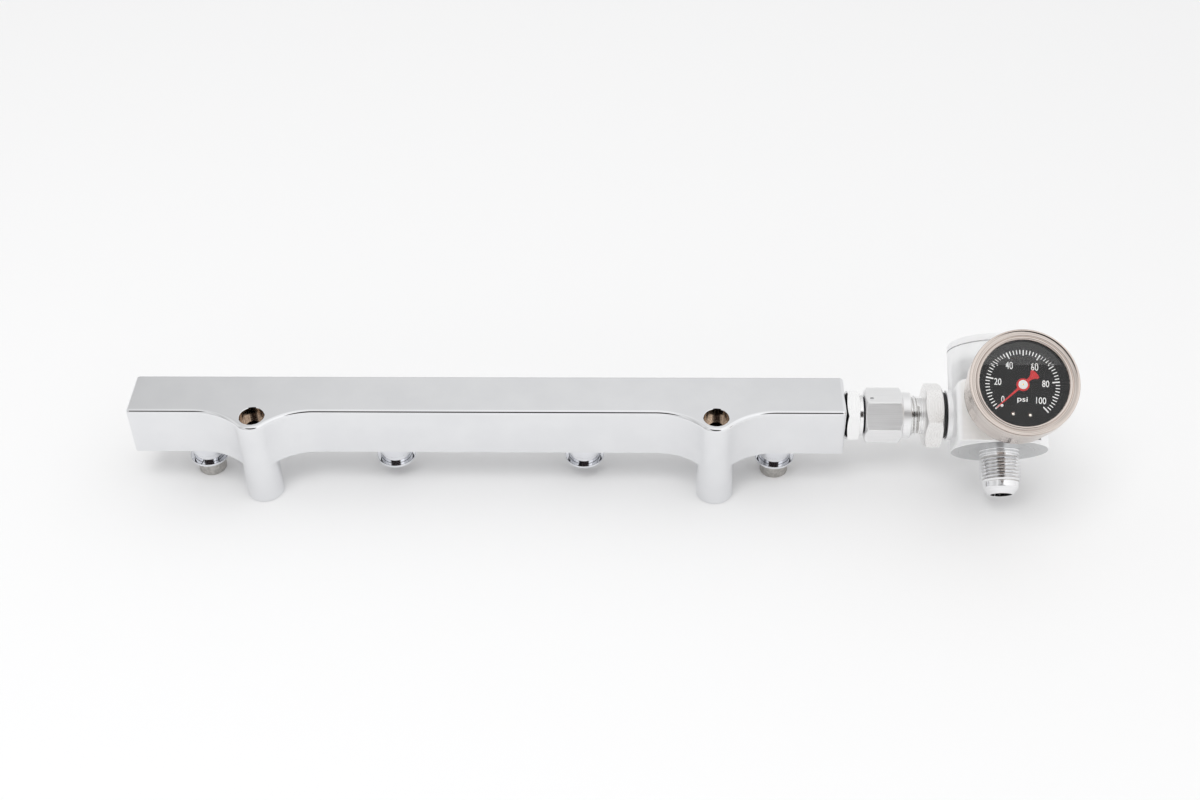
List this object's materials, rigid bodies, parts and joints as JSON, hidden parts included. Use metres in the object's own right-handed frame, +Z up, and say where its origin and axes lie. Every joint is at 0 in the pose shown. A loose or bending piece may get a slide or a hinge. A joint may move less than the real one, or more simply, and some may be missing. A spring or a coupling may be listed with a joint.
{
  "type": "fuel rail",
  "caption": "Billet fuel rail for an inline four: square bar with flared bolt legs, injector cups, swivel fitting, in-line pressure regulator and glycerine gauge.",
  "frame": {"origin": "midway between the axes of the two bolt legs, on the plane of the legs' seats", "axes": "+X along the bar towards the gauge, +Y away from the flared front, +Z up along the bolts"},
  "size_m": [0.4269, 0.0948, 0.1003],
  "materials": {
    "chrome_bar": "bright chrome plate on billet aluminium",
    "turned_cup": "polished, with fine turning marks",
    "plug_grey": "grey, coarsely turned",
    "bright_fitting": "bright, with brushed flats",
    "satin_nut": "satin",
    "black_rubber": "smooth black",
    "spring_steel": "plain drawn wire and turned steel",
    "polished_housing": "highly polished, with a satin outlet face",
    "brass": "turned",
    "warm_stainless": "warm bright stainless",
    "clear_lens": "clear",
    "dial_black": "matte black with white printing",
    "pointer_red": "satin red",
    "pin_white": "white"
  },
  "bodies": {
    "root": {"rail_body": "chrome_bar", "injector_cup_1": "turned_cup", "injector_cup_2": "turned_cup", "injector_cup_3": "turned_cup", "injector_cup_4": "turned_cup", "cup_plug_left": "plug_grey", "cup_plug_right": "plug_grey", "rail_adapter": "bright_fitting", "rail_adapter_o_ring": "black_rubber", "swivel_nut": "satin_nut", "swivel_wire": "spring_steel", "housing_adapter": "bright_fitting", "housing_adapter_o_ring": "black_rubber", "regulator_body": "polished_housing", "regulator_cap": "polished_housing", "cap_o_ring": "black_rubber", "regulator_spring": "spring_steel", "diaphragm": "black_rubber", "return_seat": "brass", "gauge_socket": "brass", "gauge_case": "warm_stainless", "gauge_bezel": "warm_stainless", "gauge_lens": "clear_lens", "lens_gasket": "black_rubber", "gauge_dial": "dial_black", "dial_screws": "brass", "bourdon_tube": "brass", "movement_frame": "brass", "hairspring": "spring_steel", "stop_pin": "pin_white", "fill_plug": "black_rubber"},
    "pointer": {"gauge_pointer": "pointer_red", "pointer_arbor": "spring_steel"},
    "sector": {"sector_gear": "brass"},
    "link": {"movement_link": "spring_steel"}
  },
  "joints": [
    {"name": "pointer_turn", "type": "hinge", "parent": "root", "child": "pointer", "pos_m": [0.2372, 0.0157, 0.0348], "axis": [0, 0.5664, -0.8241], "range_deg": [0, 270], "stiffness_Nm_per_rad": 0.000002},
    {"name": "sector_turn", "type": "hinge", "parent": "root", "child": "sector", "pos_m": [0.2287, 0.00963, 0.03063], "axis": [0, -0.5664, 0.8241], "range_deg": [0, 33.75]},
    {"name": "link_turn", "type": "hinge", "parent": "sector", "child": "link", "pos_m": [0.22823, 0.01332, 0.03316], "axis": [0, 0.5664, -0.8241], "range_deg": [0, 33.75]}
  ],
  "couplings": [
    {"joint": "sector_turn", "follows": "pointer_turn", "ratio": 0.125},
    {"joint": "link_turn", "follows": "pointer_turn", "ratio": 0.125}
  ]
}
